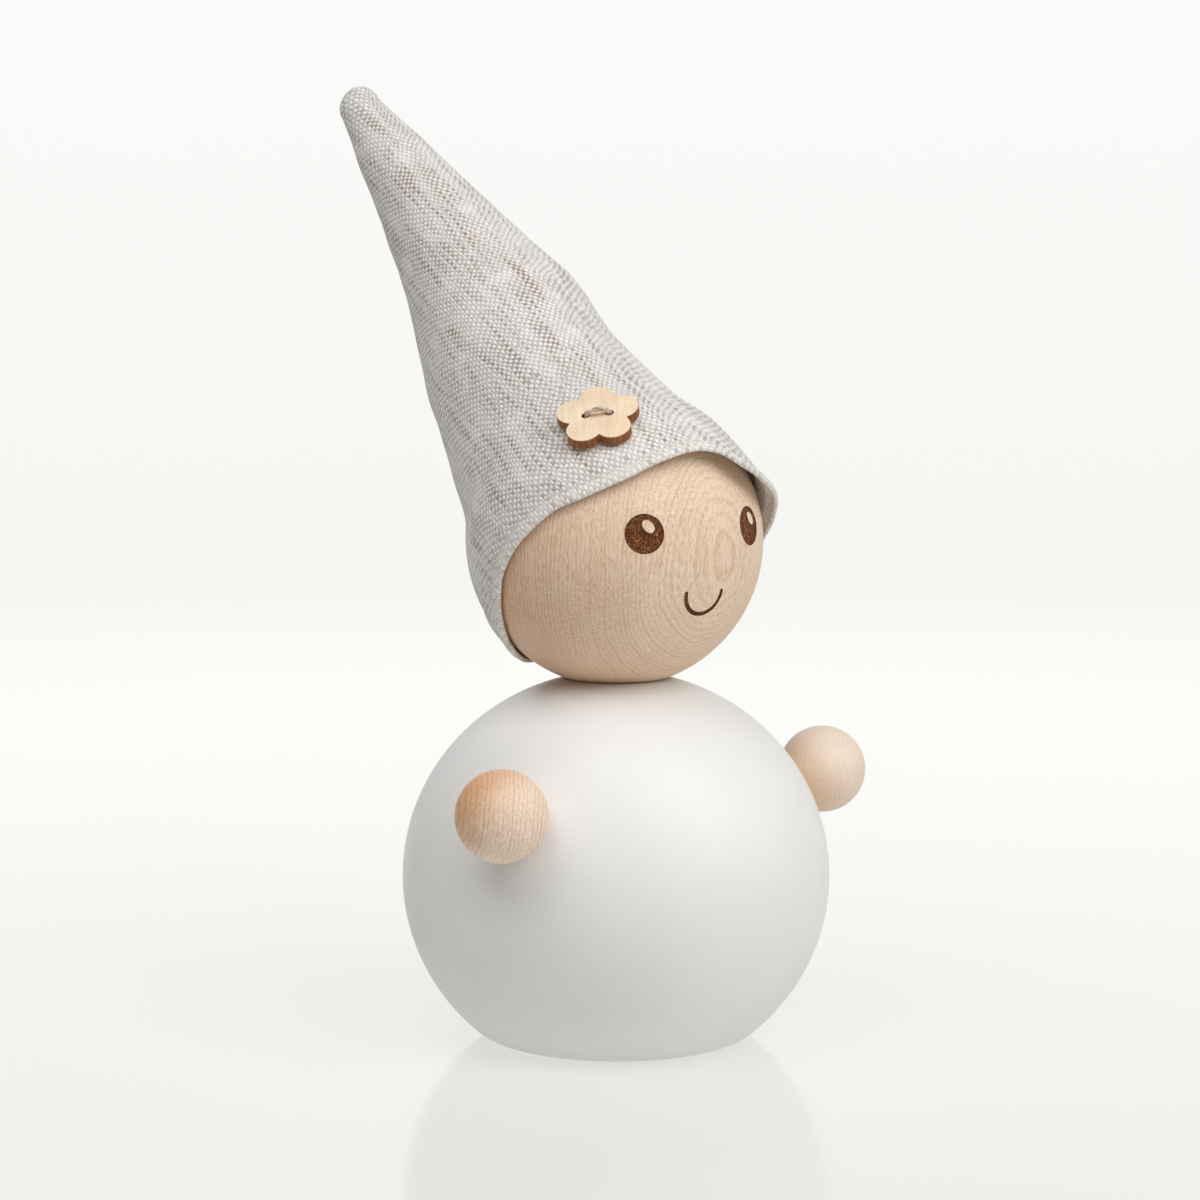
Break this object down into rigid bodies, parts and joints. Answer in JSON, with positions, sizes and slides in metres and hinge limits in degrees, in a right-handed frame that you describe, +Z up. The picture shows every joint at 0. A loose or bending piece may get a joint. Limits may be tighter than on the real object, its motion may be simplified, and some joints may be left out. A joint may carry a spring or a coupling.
{
  "type": "tomte gnome figurine",
  "caption": "Small free-standing wooden gnome: white ball body, plain ball head that turns, ball hands and a tall linen hat with a flower button.",
  "frame": {"origin": "centre of the body's flat foot, on the surface it stands on", "axes": "+Z up; -Y is the body's front, with a hand on each side of it; +X is the figure's own left"},
  "size_m": [0.0904, 0.1169, 0.1651],
  "materials": {
    "painted_body": "matt white paint over turned wood",
    "head_wood": "smooth waxed pale wood with burned-in face",
    "hand_wood": "smooth waxed pale wood",
    "dowel_wood": "plain beech dowel",
    "button_wood": "laser-cut birch ply with burned brown edge",
    "linen": "natural undyed plain-weave linen",
    "wadding": "loose white wadding",
    "sewing_thread": "pale sewing thread",
    "button_thread": "twisted grey-beige linen thread"
  },
  "bodies": {
    "torso": {"body": "painted_body", "right_hand": "hand_wood", "left_hand": "hand_wood", "right_hand_dowel": "dowel_wood", "left_hand_dowel": "dowel_wood"},
    "head_and_hat": {"neck_dowel": "dowel_wood", "head": "head_wood", "hat": "linen", "hat_stuffing": "wadding", "hem_stitching": "sewing_thread", "seam_stitching": "sewing_thread", "flower_button": "button_wood", "button_thread": "button_thread"}
  },
  "joints": [
    {"name": "head_turn", "type": "hinge", "parent": "torso", "child": "head_and_hat", "pos_m": [0, 0, 0.062], "axis": [0, 0, 1], "continuous": true}
  ]
}
